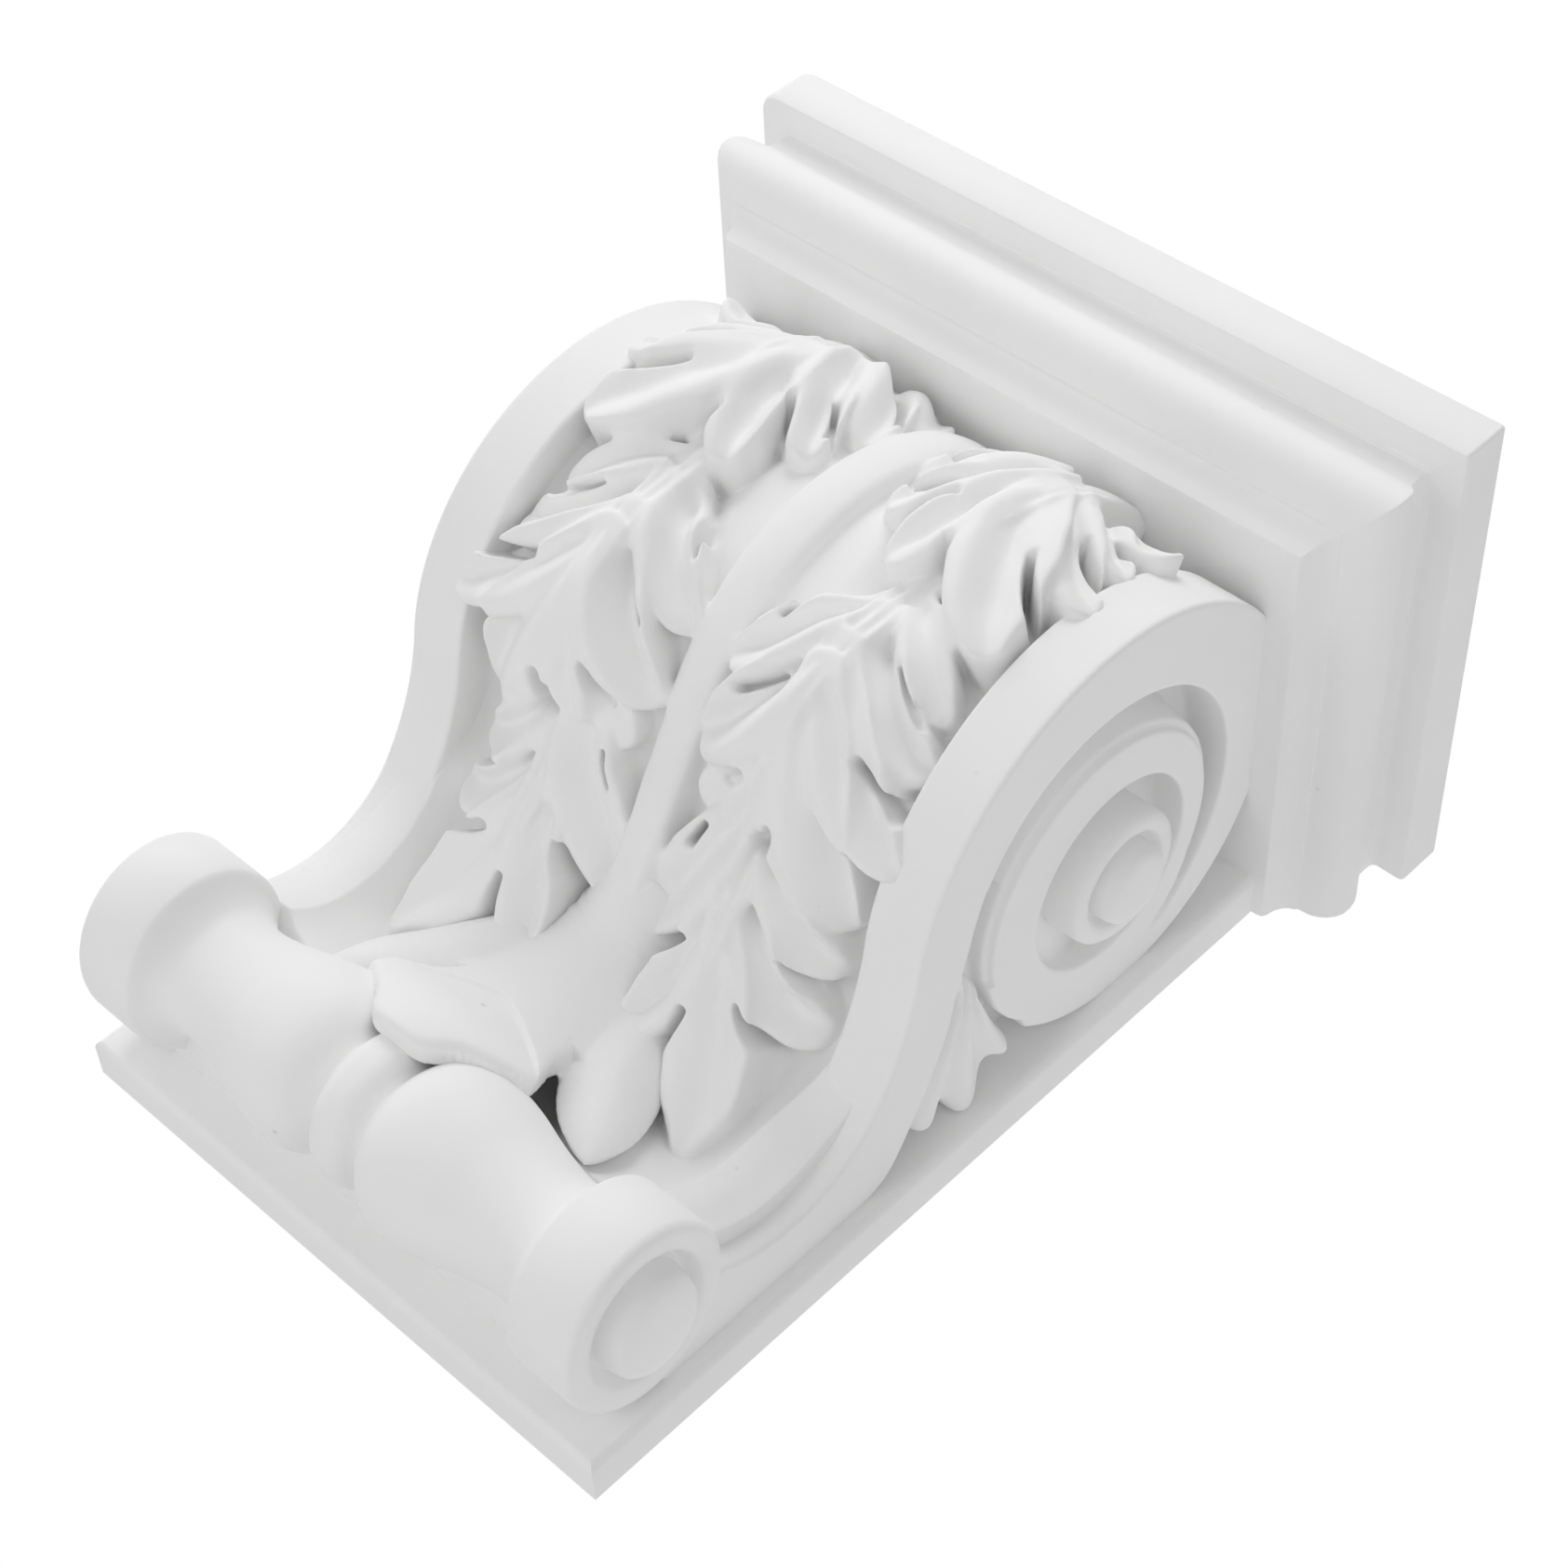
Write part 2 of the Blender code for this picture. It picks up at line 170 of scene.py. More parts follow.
def decimated(obj, triangles):
    """Brings the object under a number of triangles."""
    obj.data.calc_loop_triangles()
    now = len(obj.data.loop_triangles)
    if now <= triangles:
        return
    modifier = obj.modifiers.new("decimate", "DECIMATE")
    modifier.ratio = triangles / now
    graph = bpy.context.evaluated_depsgraph_get()
    mesh = bpy.data.meshes.new_from_object(obj.evaluated_get(graph))
    obj.modifiers.remove(modifier)
    old, obj.data = obj.data, mesh
    bpy.data.meshes.remove(old)


def add_object(name, mesh, smooth=None):
    mesh.name = name
    obj = bpy.data.objects.new(name, mesh)
    bpy.context.scene.collection.objects.link(obj)
    mesh.shade_smooth()
    if smooth is not None:
        mesh.set_sharp_from_angle(angle=math.radians(smooth))
    return obj


# ---------------------------------------------------------------- curves

def spline(points, steps):
    """A Catmull-Rom curve through the points."""
    points = np.asarray(points, float)
    padded = np.concatenate([[2 * points[0] - points[1]], points, [2 * points[-1] - points[-2]]])
    t = np.linspace(0, 1, steps, endpoint=False)[:, None]
    out = []
    for k in range(len(points) - 1):
        a, b, c, e = padded[k : k + 4]
        out.append(0.5 * (2 * b + (c - a) * t + (2 * a - 5 * b + 4 * c - e) * t**2
                          + (3 * b - a - 3 * c + e) * t**3))
    return np.concatenate(out + [points[-1:]])


def arc(centre_d, centre_z, radius, start, end, steps):
    """Points (d, z) on an arc between two angles in degrees."""
    angles = np.radians(np.linspace(start, end, steps + 1))
    return np.stack([centre_d + radius * np.cos(angles), centre_z + radius * np.sin(angles)], axis=1)


def distance_to_line(d, z, line):
    """Distance to an open line of points."""
    best = np.full(d.shape, 1e9)
    for (ad, az), (bd, bz) in zip(line[:-1], line[1:]):
        ed, ez = bd - ad, bz - az
        share = np.clip(((d - ad) * ed + (z - az) * ez) / (ed * ed + ez * ez + 1e-12), 0, 1)
        best = np.minimum(best, np.hypot(d - ad - share * ed, z - az - share * ez))
    return best


def distance_to_outline(d, z, outline):
    """Signed distance to a closed outline, negative inside."""
    outline = np.asarray(outline, float)
    closed = np.concatenate([outline, outline[:1]])
    inside = np.zeros(d.shape, bool)
    for (ad, az), (bd, bz) in zip(closed[:-1], closed[1:]):
        if az != bz:
            inside ^= ((az > z) != (bz > z)) & (d < (bd - ad) * (z - az) / (bz - az) + ad)
    return np.where(inside, -1, 1) * distance_to_line(d, z, closed)


class Front:
    """The console's front. Its coordinates are x, the distance s down it and the height h above it."""

    def __init__(self):
        self.starts, total = [], 0.0
        for _, _, radius, start, end, _ in ARCS:
            self.starts.append(total)
            total += radius * math.radians(abs(end - start))
        self.length = total

    def at(self, s, h):
        """The depths and heights of points at s and h."""
        s, h = np.asarray(s, float), np.asarray(h, float)
        d, z = np.zeros(np.broadcast(s, h).shape), np.zeros(np.broadcast(s, h).shape)
        for k, (centre_d, centre_z, radius, start, end, bulge) in enumerate(ARCS):
            here = np.ones(s.shape, bool)
            if k > 0:
                here &= s >= self.starts[k]
            if k < len(ARCS) - 1:
                here &= s < self.starts[k + 1]
            turn = math.copysign(1, end - start)
            angle = math.radians(start) + turn * (s - self.starts[k]) / radius
            reach = radius + bulge * h
            here = np.broadcast_to(here, d.shape)
            d = np.where(here, centre_d + reach * np.cos(angle), d)
            z = np.where(here, centre_z + reach * np.sin(angle), z)
        return d, z

    def line(self, s_from, s_to, count):
        """Points (d, z) on the front itself."""
        d, z = self.at(np.linspace(s_from, s_to, count), 0.0)
        return np.stack([d, z], axis=1)


front = Front()


def sink(s):
    """How far the floor of the panel lies under the bands."""
    return 11.2 - 4.0 * step_between(172, 198, s)


# ---------------------------------------------------------------- the leaves

# Each column has three acanthus leaves, one over the next, and the two columns mirror each other.
# A lobe is (x, s) of its root, middle and tip, its half width, the heights above the floor at those three,
# how far its lower edge rises and its upper edge sinks, how strong its flute is and where across the lobe
# it lies, from -1 on the upper edge to 1 on the lower, and how blunt the tip is.
LOBES = [
    ((44.0, 24.0), (51.5, 23.0), (61.0, 20.5), 5.2, (12.0, 14.0, 17.0), 0.0, 0.5, 0.0, 0.9),
    ((34.0, 12.0), (46.0, 26.5), (58.5, 35.5), 6.2, (15.5, 16.0, 12.3), 0.3, 1.6, -0.3, 0.65),
    ((33.0, 18.0), (45.0, 37.5), (61.5, 49.5), 8.0, (16.5, 16.5, 12.4), 0.5, 1.9, -0.3, 0.6),
    ((33.0, 28.0), (41.5, 50.0), (54.0, 70.0), 10.6, (18.0, 18.5, 14.0), 0.0, 1.6, -0.1, 0.45),
    ((31.0, 28.0), (27.5, 47.0), (22.5, 63.0), 7.0, (18.0, 17.5, 12.5), 0.0, 1.8, -0.3, 0.65),
    ((30.0, 16.0), (20.5, 35.0), (11.5, 51.0), 6.6, (18.0, 17.0, 11.0), 1.0, 1.8, -0.3, 0.65),
    ((29.0, 5.0), (16.5, 19.5), (8.5, 37.5), 6.6, (16.5, 16.5, 9.8), 2.0, 1.6, -0.3, 0.65),
    ((28.0, 0.0), (15.0, 5.0), (8.0, 20.0), 5.8, (15.0, 14.5, 10.2), 1.5, 1.0, -0.3, 0.65),
    ((30.0, 62.0), (40.5, 73.0), (51.5, 83.5), 5.6, (9.5, 12.0, 5.5), 0.5, 1.0, -0.2, 0.65),
    ((29.0, 72.0), (42.0, 88.0), (56.0, 93.8), 8.2, (11.0, 14.5, 6.5), 0.5, 2.6, -0.3, 0.6),
    ((29.0, 82.0), (43.0, 100.5), (61.0, 113.0), 8.8, (15.0, 16.0, 12.8), 0.0, 2.2, -0.3, 0.4),
    ((29.5, 88.0), (38.0, 111.0), (48.0, 136.5), 11.2, (17.0, 16.0, 6.5), 0.0, 3.0, -0.5, 0.6),
    ((28.0, 98.0), (26.0, 112.0), (22.5, 125.5), 5.8, (17.0, 15.5, 10.5), 0.0, 0.8, 0.0, 0.65),
    ((27.0, 82.0), (19.5, 99.0), (6.0, 113.5), 8.4, (15.0, 17.5, 8.5), 0.8, 2.6, -0.3, 0.65),
    ((25.0, 68.0), (18.0, 82.0), (5.0, 95.5), 7.0, (8.5, 14.5, 8.8), 2.2, 2.2, -0.2, 0.65),
    ((28.0, 122.0), (39.5, 137.0), (51.0, 143.5), 6.2, (6.5, 13.5, 6.0), 0.8, 1.5, -0.3, 0.6),
    ((27.5, 134.0), (39.0, 150.5), (53.0, 156.0), 7.8, (11.0, 16.5, 7.0), 0.5, 2.0, -0.3, 0.65),
    ((27.0, 144.0), (33.5, 166.0), (43.0, 191.0), 10.6, (16.0, 18.5, 8.5), 0.0, 1.0, -0.2, 0.3),
    ((25.5, 138.0), (22.5, 157.0), (15.5, 180.5), 7.6, (13.0, 18.5, 15.5), 0.0, 1.8, -0.25, 0.7),
    ((25.0, 116.0), (15.5, 138.0), (3.8, 158.5), 8.6, (6.5, 14.5, 8.5), 2.8, 1.6, -0.1, 0.6),
    ((24.0, 112.0), (17.0, 120.0), (13.0, 128.0), 7.0, (7.0, 9.0, 8.0), 0.0, 0.4, 0.0, 0.65),
]
# A cut between two lobes is (x, s) of its start, middle and end, its half width at both ends, and a height
# above the floor. The cut reaches down to CUT_LIFT over that height.
CUT_LIFT = 1.5
CUTS = [
    ((49.6, 26.4), (55.0, 28.3), (62.0, 28.0), 0.4, 1.0, 5.0),
    ((47.5, 34.8), (52.5, 39.0), (59.5, 42.5), 0.4, 1.3, 4.0),
    ((45.6, 48.2), (51.5, 55.0), (59.5, 60.0), 0.5, 1.7, 2.0),
    ((30.5, 54.5), (31.2, 59.0), (31.5, 66.0), 0.6, 1.4, 7.0),
    ((21.9, 43.2), (18.5, 48.5), (16.0, 55.5), 0.5, 1.2, 5.5),
    ((18.3, 33.5), (15.0, 37.5), (11.5, 43.0), 0.5, 0.9, 5.5),
    ((20.0, 12.0), (14.0, 17.0), (7.5, 26.0), 0.5, 0.8, 6.5),
    ((40.0, 79.0), (44.5, 82.9), (50.0, 86.0), 0.3, 0.9, 6.5),
    ((43.9, 98.0), (49.0, 100.2), (56.0, 102.5), 0.8, 1.6, 2.0),
    ((50.5, 114.2), (53.5, 116.0), (58.5, 118.0), 0.7, 1.4, 2.0),
    ((32.6, 118.5), (31.6, 121.5), (29.5, 125.5), 1.0, 1.6, 4.0),
    ((21.9, 112.0), (19.6, 114.7), (16.5, 117.5), 0.8, 1.2, 5.5),
    ((20.2, 91.8), (17.2, 95.2), (13.5, 98.3), 0.4, 0.7, 6.5),
    ((14.4, 74.0), (14.3, 77.0), (12.0, 82.0), 0.9, 0.5, 4.0),
    ((40.8, 144.8), (44.5, 147.2), (49.0, 148.8), 0.3, 0.9, 4.0),
    ((37.0, 158.0), (41.5, 161.0), (48.0, 162.8), 0.8, 1.5, 2.0),
    ((26.5, 165.5), (26.3, 170.0), (25.6, 178.0), 0.5, 0.8, 6.0),
    ((18.2, 152.0), (15.0, 156.0), (10.5, 159.5), 0.8, 1.2, 4.0),
    ((14.4, 128.5), (13.4, 131.0), (11.8, 134.5), 0.7, 0.8, 2.0),
]
# A leaf's stem is (x, s) of both ends, its half width, and its height above the floor at both ends.
STEMS = [
    ((35.5, 2.0), (33.0, 50.0), 4.2, 16.5, 17.6),
    ((29.5, 60.0), (27.5, 104.0), 4.2, 9.0, 17.8),
    ((26.0, 116.0), (27.0, 158.0), 4.2, 6.5, 18.8),
]
# How far the bed beside the rib stands over the floor, as (s, height) down the front
BED = [(0, 9.4), (12, 8.6), (30, 6.8), (52, 6.6), (75, 5.4), (97, 3.6), (119, 2.6), (150, 3.6), (172, 0.0),
       (204, 0.0)]


def bezier(a, b, c, count):
    """Points on the curve from a to c that b pulls towards itself."""
    t = np.linspace(0, 1, count)[:, None]
    return (1 - t) ** 2 * a + 2 * t * (1 - t) * b + t**2 * c


def along(x, s, centres, widths):
    """Distance to a line of changing width, the share of the way along it, and the step to its side."""
    best = np.full(x.shape, 1e9)
    nearest = np.full(x.shape, 1e9)
    travel, side = np.zeros(x.shape), np.zeros(x.shape)
    count = len(centres) - 1
    total = 0.0
    for k in range(count):
        (ax, ay), (bx, by) = centres[k], centres[k + 1]
        ex, ey = bx - ax, by - ay
        length = math.hypot(ex, ey)
        free = ((x - ax) * ex + (s - ay) * ey) / length**2
        u = np.clip(free, 0, 1)
        px, py = x - ax - u * ex, s - ay - u * ey
        distance = np.hypot(px, py)
        best = np.minimum(best, distance - (widths[k] + u * (widths[k + 1] - widths[k])))
        here = distance < nearest
        nearest = np.where(here, distance, nearest)
        # the last stretch counts on past its end, because the rounded tip lies there
        travel = np.where(here, total + (free if k == count - 1 else u) * length, travel)
        side = np.where(here, (ex * py - ey * px) / length, side)
        total += length
    return best, travel / (total + widths[-1]), side


LOBE_STEPS = 28
LOBE_FLUTE = 2.3
LOBE_FLUTE_WIDTH = 0.40
LOBE_RIDGE = 0.4
LOBE_RIDGE_WIDTH = 0.26
LOBE_EDGE_DROP = 1.8


def lobe_shape(x, s, lobe):
    """Fields over the panel of one lobe: its outline, its top, and how softly it blends into the rest."""
    root, middle, tip = [np.array(point) for point in lobe[:3]]
    half, heights, lean, strength, place, blunt = lobe[3:]
    outer = 1 if tip[0] > root[0] else -1
    control = 2 * middle - 0.5 * (root + tip)
    direction = (tip - control) / np.linalg.norm(tip - control)
    end = tip - direction * half * blunt
    centres = bezier(root, control, end, LOBE_STEPS)
    shares = np.linspace(0, 1, LOBE_STEPS)
    profile = [0.44, 0.82, 1.00, 0.72 + 0.3 * blunt, blunt]
    widths = half * np.interp(shares, [0.0, 0.28, 0.55, 0.8, 1.0], profile)
    outline, share, side = along(x, s, centres, widths)
    across = np.clip(outer * side / np.interp(share, shares, widths), -1.2, 1.2)
    flute = -LOBE_FLUTE * np.exp(-(((across - place) / LOBE_FLUTE_WIDTH) ** 2))
    flute = flute + LOBE_RIDGE * np.exp(-(((across - place - 0.8) / LOBE_RIDGE_WIDTH) ** 2))
    fade = step_between(0.0, 0.22, share) * (1 - 0.7 * step_between(0.7, 1.0, share))
    rise = step_between(0.0, 0.42, share)
    fall = np.clip((share - 0.42) / 0.58, 0, 1) ** 2
    level = heights[0] + (heights[1] - heights[0]) * rise + (heights[2] - heights[1]) * fall
    level = level + lean * across * (1 - 0.5 * share)
    top = level + strength * fade * flute - LOBE_EDGE_DROP * step_between(0.5, 1.2, across) ** 2
    blend = 0.8 + 2.0 * step_between(0.05, 0.3, share) * (1 - step_between(0.45, 0.8, share))
    return outline, top, blend


def top_edge(x):
    """Where the uppermost leaves and the rib end, short of the soffit."""
    return 4.2 + 15.5 * step_between(14, 38, np.abs(x))


def panel_window(grid, points, reach, side):
    """The part of the grid within reach of the points, on one side of the rib."""
    xs, ss = [side * point[0] for point in points], [point[1] for point in points]
    return grid.window((min(xs) - reach, min(ss) - reach, -3), (max(xs) + reach, max(ss) + reach, 30))


def flat_coordinates(grid, spans, side):
    """x towards that side and s as flat arrays, and h as it is."""
    x, s, h = grid.coordinates(spans)
    return (side * x + 0 * s)[:, :, 0], (s + 0 * x)[:, :, 0], h


def add_lobe(grid, lobe, side):
    spans = panel_window(grid, lobe[:3], lobe[3] + 8, side)
    x, s, h = flat_coordinates(grid, spans, side)
    outline, top, blend = [v.astype(np.float32)[:, :, None] for v in lobe_shape(x, s, lobe)]
    ends = (top_edge(x) - s).astype(np.float32)[:, :, None]
    grid.add(spans, smax(smax(outline, ends, 3.0), 0.8 * (h - top), 1.3), blend)


CUT_STEPS = 16
CUT_SLOPE = 0.06


def cut_between(grid, cut, side):
    start, middle, end = [np.array(point) for point in cut[:3]]
    start_half, end_half, bottom = cut[3:]
    spans = panel_window(grid, (start, middle, end), 4, side)
    x, s, h = flat_coordinates(grid, spans, side)
    centres = bezier(start, 2 * middle - 0.5 * (start + end), end, CUT_STEPS)
    outline, _, _ = along(x, s, centres, np.linspace(start_half, end_half, CUT_STEPS))
    outline = outline.astype(np.float32)[:, :, None]
    grid.cut(spans, smax(outline - CUT_SLOPE * (h - 8), bottom + CUT_LIFT - h, 0.8), 1.0)


STEM_STEPS = 12
STEM_GROOVES = 0.4
STEM_GROOVE_PITCH = 2.8


def add_stem(grid, stem, side):
    (x0, s0), (x1, s1), half, low, high = stem
    centre = 0.5 * (x0 + x1) * side
    spans = grid.window((centre - 12, s0 - 10, -3), (centre + 12, s1 + 10, 30))
    x, s, h = flat_coordinates(grid, spans, side)
    centres = np.linspace((x0, s0), (x1, s1), STEM_STEPS)
    widths = half * np.interp(np.linspace(0, 1, STEM_STEPS), (0, 0.15, 0.7, 1), (1.15, 1.0, 0.8, 0.25))
    outline, share, step = along(x, s, centres, widths)
    ridges = STEM_GROOVES * np.cos(step * 2 * math.pi / STEM_GROOVE_PITCH)
    ridges = ridges * (1 - step_between(0.5, 1.0, share))
    top = low + (high - low) * step_between(0.0, 0.8, share) - 0.02 * step**2 + ridges
    top = top - 1.5 * step_between(0.8, 1.0, share)
    field = smax(outline[:, :, None], h - top[:, :, None], 2.0)
    grid.add(spans, field.astype(np.float32), 1.2)


# The panel's grid in x, s and h, and the thickness of the slab under the floor
PANEL_LOW = (-66.0, -6.0, -2.6)
PANEL_HIGH = (66.0, 212.0, 20.4)
PANEL_SLAB = 2.0
# The mass that the uppermost leaves grow from: its height by the rib, and what it loses towards the bands
CREST = 13.0
CREST_FALL = 6.0
# The bank at the panel's lower end, level with the bands: how far it stands over them along their inner
# edges, how much lower it lies further out, and how deep it is hollowed in the middle
BANK_PROUD = 0.2
BANK_FALL = 0.8
BANK_HOLLOW = 3.6
# The walls beside the panel, from the middle, and how far their tops lie under the bands
WALL_INNER = 57.5
WALL_SUNK = 1.5
# The rib's half width at its upper end, what it loses on the way down, the slope of its flanks, how round
# its top is, and its height as (s, height)
RIB_HALF = 5.6
RIB_TAPER = 1.6
RIB_FLANK = 0.14
RIB_ROUND = 0.03
RIB_TOP = [(-6, 12.6), (21, 12.1), (52, 11.1), (75, 9.9), (97, 8.2), (116, 7.2), (124, 8.6), (133, 11.6),
           (142, 14.0), (150, 15.2), (162, 15.8), (172, 12.0), (182, 2.0), (204, 0.0)]


def panel_base(wide, s, h):
    """The bed, the crest, the bank and the walls that the leaves lie on and between; wide is |x|."""
    bed = np.interp(s, *zip(*BED)).astype(np.float32) * (1 - step_between(14, 26, wide))
    crest = (CREST - CREST_FALL * step_between(28, 50, wide)) * (1 - step_between(4, 30, s))
    crest = crest * step_between(8, 16, wide) * (1 - step_between(50, 57, wide))
    flush = BANK_PROUD - BANK_FALL * step_between(58, 64, wide)
    hollow = BANK_HOLLOW * (1 - step_between(46, 57, wide)) * (1 - step_between(184, 198, s))
    bank = (sink(s) + flush - hollow) * step_between(140, 186, s) * step_between(12, 30, wide)
    floor = h - np.maximum(bed, crest) - bank
    wall_top = h - sink(s) + WALL_SUNK - (WALL_SUNK + flush) * step_between(150, 180, s)
    wall = smax(WALL_INNER - wide, wall_top, 0.2)
    corner = 4.0 + 14.0 * step_between(140, 178, s)
    return smin(floor, wall, corner)


def rib_field(x, s, h):
    half = RIB_HALF - RIB_TAPER * step_between(60, 168, s)
    top = np.interp(s, *zip(*RIB_TOP)).astype(np.float32)
    rib = smax(np.abs(x) - half - RIB_FLANK * (top - h), h - top + RIB_ROUND * x**2, 1.7)
    return smax(rib, top_edge(0) - s, 3.0)


def leaf_panel():
    """The sunk panel with its rib and both columns of leaves."""
    grid = Grid(PANEL_LOW, PANEL_HIGH, VOXEL)
    x, s, h = grid.coordinates(EVERYWHERE)
    base = panel_base(np.abs(x), s, h)
    grid.field[EVERYWHERE] = smin(base, rib_field(x, s, h), 1.2)
    for side in (-1, 1):
        for stem in STEMS:
            add_stem(grid, stem, side)
        for lobe in LOBES:
            add_lobe(grid, lobe, side)
        for cut in CUTS:
            cut_between(grid, cut, side)
    # the cuts stop at the base
    grid.add(EVERYWHERE, base, 0.01)
    grid.cut(EVERYWHERE, h + PANEL_SLAB + 0 * x + 0 * s, 0.1)
    points, quads, tris = grid.surface()
    d, z = front.at(points[:, 1], points[:, 2] - sink(points[:, 1]))
    return np.stack([points[:, 0], d, z], axis=1), quads, tris


# ---------------------------------------------------------------- the palmette over the roll

# The middle line of its top as (d, z), and by the distance along that line its half width and how fast it
# sags sideways; SHEET is its thickness
PALMETTE_LINE = [(50.5, 86.5), (44.6, 81.6), (38.3, 75.8), (36.0, 65.3), (38.7, 54.5), (44.0, 46.0),
                 (50.5, 40.0), (55.0, 33.0), (56.5, 25.0)]
PALMETTE_HALF = [(0, 2), (7, 12), (12, 24), (17, 38), (34.5, 38), (36.5, 16), (42.5, 17), (48.5, 20.5),
                 (53, 23.5), (59.5, 18.5), (64.5, 14), (69, 10.5), (73, 7.5)]
PALMETTE_SAG = [(0, 0.12), (7.5, 0.09), (16, 0.045), (24.5, 0.028), (30, 0.023), (38, 0.015), (51, 0.007),
                (61, 0.010), (73, 0.018)]
SHEET = 6.0
# The curl's edge lies this far along the line in the middle, and FOLD_FALL further at FOLD_WIDTH to the
# side; the sheet steps down there
FOLD = 42.0
FOLD_FALL = 11.0
FOLD_WIDTH = 24
FOLD_STEP = 1.0
# The lobe beside it and its mirror image, as (x, d, z, half width) along the crease, and the way it faces
BLADE = [(19.5, 26.5, 70.0, 7.5), (24.0, 27.2, 57.0, 10.2), (29.4, 29.2, 48.0, 9.0),
         (34.4, 31.6, 41.0, 4.6), (37.8, 33.6, 36.5, 0.4)]
BLADE_FACE = (0.0, 0.86, 0.51)


def chain(x, d, z, spine, face, squash):
    """Distance to a tapering chain with a roof-shaped section, flattened along the direction `face`."""
    best = np.full(np.broadcast(x, d, z).shape, 1e9, np.float32)
    spine = spline(spine, 4)
    for (*a, start_half), (*b, end_half) in zip(spine[:-1], spine[1:]):
        edge = np.array(b) - np.array(a)
        px, pd, pz = x - a[0], d - a[1], z - a[2]
        u = np.clip((px * edge[0] + pd * edge[1] + pz * edge[2]) / edge.dot(edge), 0, 1)
        px, pd, pz = px - u * edge[0], pd - u * edge[1], pz - u * edge[2]
        rise = px * face[0] + pd * face[1] + pz * face[2]
        flat = np.sqrt(np.maximum(px**2 + pd**2 + pz**2 - rise**2, 0))
        rise = np.abs(rise) * squash
        section = 0.55 * np.hypot(flat, rise) + 0.45 * (flat + rise)
        best = np.minimum(best, section - (start_half + u * (end_half - start_half)))
    return best


def palmette():
    """The sheet that drapes from the rib over the roll, with its curl and the lobe on each side."""
    grid = Grid((-48.0, 8.0, 14.0), (48.0, 66.0, 92.0), VOXEL)
    x, d, z = grid.coordinates(EVERYWHERE)
    line = spline(PALMETTE_LINE, 5)
    length = np.hypot(*np.diff(line, axis=0).T).sum()
    flat_d, flat_z = (d + 0 * z)[0], (z + 0 * d)[0]
    _, share, side = along(flat_d, flat_z, line, np.zeros(len(line)))
    t, n = (share * length)[None].astype(np.float32), side[None].astype(np.float32)
    wide = np.abs(x)
    fold = FOLD + FOLD_FALL * (wide / FOLD_WIDTH) ** 1.3
    top = -np.interp(t, *zip(*PALMETTE_SAG)).astype(np.float32) * x**2
    top = top - FOLD_STEP * step_between(-0.5, 0.5, t - fold)
    outline = 0.7 * (wide - np.interp(t, *zip(*PALMETTE_HALF)).astype(np.float32))
    outline = smax(outline, t - length, 3.0)
    sheet = smax(smax(outline, n - top, 2.0), top - SHEET - n, 1.0)
    grid.field[EVERYWHERE] = smax(sheet, -t, 1.0)
    grid.add(EVERYWHERE, chain(wide, d, z, BLADE, BLADE_FACE, 1.6), 1.5)
    return grid.surface()


# ---------------------------------------------------------------- the scrolls

# The band's rear edge from the volute down to the foot, as (d, z)
REAR = [(71.8, 113.1), (64.0, 110.0), (49.7, 104.9), (40.8, 102.2), (30.0, 96.8), (21.5, 91.4),
        (14.0, 85.8), (10.8, 80.4), (9.4, 72.3)]
# Circles as (d, z, radius): the walls of the channel between the volute's turns, and its back
CHANNEL_OUTER = (52.6, 147.3, 39.2)
CHANNEL_INNER = (48.9, 147.3, 33.9)
VOLUTE_BACK = (54.9, 155.4, 45.2)
CHANNEL_DEPTH = 11.0
# The eye's centre, the recess round it, and that recess's floor: its lowest level and how far it rises
EYE = (47.4, 150.4)
EYE_RECESS = (46.8, 150.5, 22.4)
RECESS_FLOOR = 62.5
RECESS_RISE = 6.0
# The web that closes the slot between the band and the volute's underside, as (d, z), and its face: the
# level at the back and how far it falls towards the front
SLOT_WEB = [(76, 113), (66, 109), (50, 103.5), (44, 108), (31, 115), (30, 121), (38, 119), (49, 117),
            (60, 119), (72, 125), (78, 120)]
WEB_FACE = 66.5
WEB_FALL = 6.0
# The small leaf behind each scroll, seen from the side as (d, z), its back and face, and the depth and
# pitch of the flutes that spread from its root
SIDE_LEAF = [(54, 106.5), (47.5, 110.5), (40, 113.5), (32, 116), (25, 119.5), (20, 121.8), (17.5, 119.5),
             (19.3, 115.8), (14.5, 113), (11, 109), (11.2, 105.8), (14.5, 103.8), (17.4, 102), (14.8, 99),
             (15.4, 95), (18.6, 92.4), (25, 93.5), (36, 100), (50, 104)]
SIDE_LEAF_BACK = 58.0
SIDE_LEAF_FACE = 71.0
SIDE_LEAF_FLUTE = 1.1
SIDE_LEAF_PITCH = 0.36
SIDE_LEAF_ROOT = (50.0, 108.0)


def scroll_outline():
    """The scroll seen from the side: the front, the foot, the rear edge and the volute's back."""
    line = front.line(FRONT_LEAD, front.length, 90)
    foot = [(line[-1][0], 28.0), (8.0, 22.0), (8.0, 72.3)]
    rear = spline(REAR[::-1], 6)
    under = arc(*CHANNEL_INNER, -56, -137, 24)
    back = arc(*VOLUTE_BACK, 222, 116, 30)
    top = [(37.0, SOFFIT + 2)]
    return np.concatenate([line, foot, rear, under, back, top])


def distance_to_circle(d, z, circle):
    return np.hypot(d - circle[0], z - circle[1]) - circle[2]


def lifted(*flat):
    """Flat fields over (d, z) as fields that reach across x."""
    return [field[None].astype(np.float32) for field in flat]


